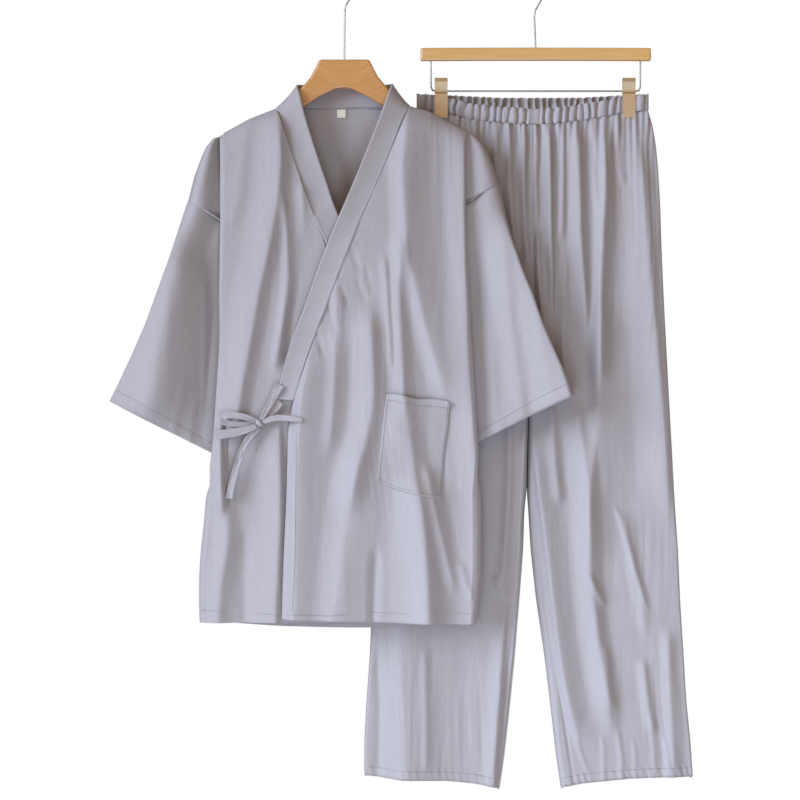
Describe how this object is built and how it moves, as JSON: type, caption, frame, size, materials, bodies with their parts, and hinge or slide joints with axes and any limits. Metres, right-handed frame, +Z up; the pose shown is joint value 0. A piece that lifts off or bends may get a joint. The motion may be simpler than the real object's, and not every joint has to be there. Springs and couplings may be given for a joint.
{
  "type": "kimono pyjama set on a shaped hanger and a clip hanger",
  "caption": "Wrap pyjama jacket with side tie and patch pocket on a shaped wooden hanger, hung before wide trousers with a gathered waist, clipped to a wooden bar hanger.",
  "frame": {"origin": "the inner crown of the jacket hanger's hook, where a rail carries it", "axes": "+Z up, -Y the side the garments face, +X to the viewer's right"},
  "size_m": [0.8323, 0.109, 1.1746],
  "materials": {
    "cloth": "plain woven viscose-cotton with a fine vertical slub, soft and matte",
    "label": "bare cream tape",
    "wood": "pale maple with a satin clear lacquer",
    "wire": "drawn nickel-plated steel wire",
    "clip_metal": "champagne plated spring steel"
  },
  "bodies": {
    "root": {"jacket_front_under": "cloth", "jacket_front_wrap": "cloth", "jacket_back": "cloth", "sleeve_left": "cloth", "sleeve_right": "cloth", "neckband": "cloth", "pocket": "cloth", "tie_collar": "cloth", "tie_side": "cloth", "tie_arm": "cloth", "tie_loop": "cloth", "tie_tail": "cloth", "tie_drop": "cloth", "tie_knot": "cloth", "size_label": "label", "waistband": "cloth", "trouser_front_left": "cloth", "trouser_front_right": "cloth", "trouser_back_left": "cloth", "trouser_back_right": "cloth", "jacket_hanger": "wood", "jacket_hook": "wire", "bar_hanger": "wood", "trouser_hook": "wire", "clip_wire": "wire", "clip_left": "clip_metal", "clip_right": "clip_metal"}
  },
  "joints": []
}
